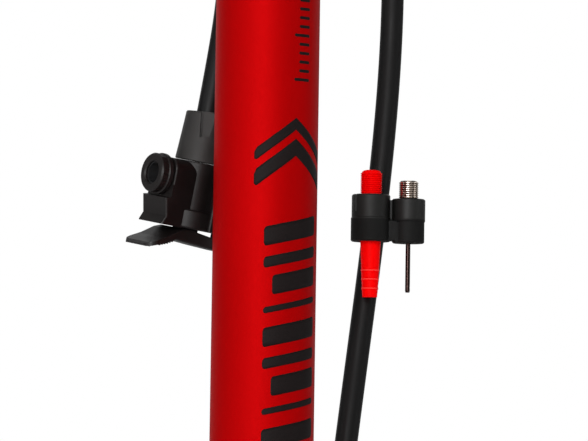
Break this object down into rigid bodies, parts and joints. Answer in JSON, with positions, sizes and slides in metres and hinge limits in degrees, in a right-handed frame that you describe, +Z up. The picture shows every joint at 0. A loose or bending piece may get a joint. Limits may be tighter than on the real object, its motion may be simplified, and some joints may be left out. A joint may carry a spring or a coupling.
{
  "type": "floor bike pump",
  "caption": "Upright floor pump with a long-stroke plunger, foot base with dial gauge, hose with lever-locking valve head, and a clip holding a nozzle and ball needle.",
  "frame": {"origin": "on the floor, on the barrel's axis, at the middle of the base", "axes": "+Z up along the barrel, +X to the operator's right along the handle, -Y towards the operator and the gauge"},
  "size_m": [0.244, 0.1764, 0.6266],
  "materials": {
    "cast_base": "satin textured",
    "rubber_pad": "matt",
    "zinc_screw": "satin",
    "red_barrel": "satin lacquer",
    "seal_rubber": "matt",
    "brass": "machined",
    "steel_bright": "bright",
    "spring_steel": "drawn",
    "black_nylon": "satin moulded",
    "acetal": "smooth",
    "chrome_rod": "polished",
    "aluminium": "satin",
    "grip_rubber": "soft matt",
    "dial_print": "printed",
    "needle_red": "satin",
    "lens_clear": "clear",
    "hose_rubber": "satin extruded",
    "head_nylon": "satin moulded",
    "red_plastic": "satin moulded",
    "nickel": "plated"
  },
  "bodies": {
    "root": {"base": "cast_base", "foot_pads": "rubber_pad", "foot_pad_screws": "zinc_screw", "barrel_lock_screws": "zinc_screw", "barrel": "red_barrel", "barrel_seal": "seal_rubber", "check_valve_body": "brass", "check_valve_spring": "spring_steel", "top_cap": "black_nylon", "rod_bush": "acetal", "rod_wiper": "seal_rubber", "hose_hook": "black_nylon", "gauge_housing": "black_nylon", "gauge_movement": "brass", "gauge_dial": "dial_print", "gauge_lens": "lens_clear", "gauge_bezel": "black_nylon", "hose_fitting": "brass", "hose": "hose_rubber", "hose_ferrules": "steel_bright", "head_body": "head_nylon", "head_boot": "head_nylon", "mouth_collar": "head_nylon", "mouth_gasket": "seal_rubber", "lever_pin": "steel_bright", "head_dock": "black_nylon", "accessory_clip": "head_nylon"},
    "plunger": {"piston_rod": "chrome_rod", "piston": "acetal", "piston_seal": "seal_rubber", "piston_wear_ring": "acetal", "piston_screw": "steel_bright", "rod_lower_insert": "aluminium", "rod_upper_insert": "aluminium", "handle_bumper": "seal_rubber", "handle_bar": "aluminium", "handle_hub": "black_nylon", "grip_right": "grip_rubber", "grip_left": "grip_rubber", "grip_end_caps": "black_nylon", "handle_bolt": "zinc_screw"},
    "gauge_pointer": {"gauge_needle": "needle_red"},
    "valve_ball": {"check_valve_ball": "steel_bright"},
    "lever": {"head_lever": "head_nylon"},
    "pusher": {"gasket_pusher": "brass"},
    "nozzle": {"inflation_nozzle": "red_plastic"},
    "needle": {"ball_needle": "nickel"}
  },
  "joints": [
    {"name": "plunger_stroke", "type": "slide", "parent": "root", "child": "plunger", "axis": [0, 0, 1], "range_m": [0, 0.47]},
    {"name": "gauge_sweep", "type": "hinge", "parent": "root", "child": "gauge_pointer", "pos_m": [0, -0.055, 0.03], "axis": [0, 0.4226, -0.9063], "range_deg": [0, 270], "stiffness_Nm_per_rad": 0.0002, "springref_deg": -11.46},
    {"name": "check_valve_lift", "type": "slide", "parent": "root", "child": "valve_ball", "axis": [0, 0, -1], "range_m": [0, 0.0012], "stiffness_N_per_m": 60, "springref_m": -0.003, "deforming": ["check_valve_spring"]},
    {"name": "lever_swing", "type": "hinge", "parent": "root", "child": "lever", "pos_m": [0.00582, 0.03971, 0.35761], "axis": [-0.0022, -0.9875, -0.1579], "range_deg": [0, 90]},
    {"name": "pusher_travel", "type": "slide", "parent": "root", "child": "pusher", "axis": [-0.9945, -0.0144, 0.1039], "range_m": [0, 0.0018]},
    {"name": "nozzle_pull", "type": "slide", "parent": "root", "child": "nozzle", "axis": [0, 0, 1], "range_m": [0, 0.045]},
    {"name": "needle_pull", "type": "slide", "parent": "root", "child": "needle", "axis": [0, 0, 1], "range_m": [0, 0.04]}
  ],
  "couplings": [
    {"joint": "pusher_travel", "follows": "lever_swing", "m_per_rad": 0.001145}
  ]
}
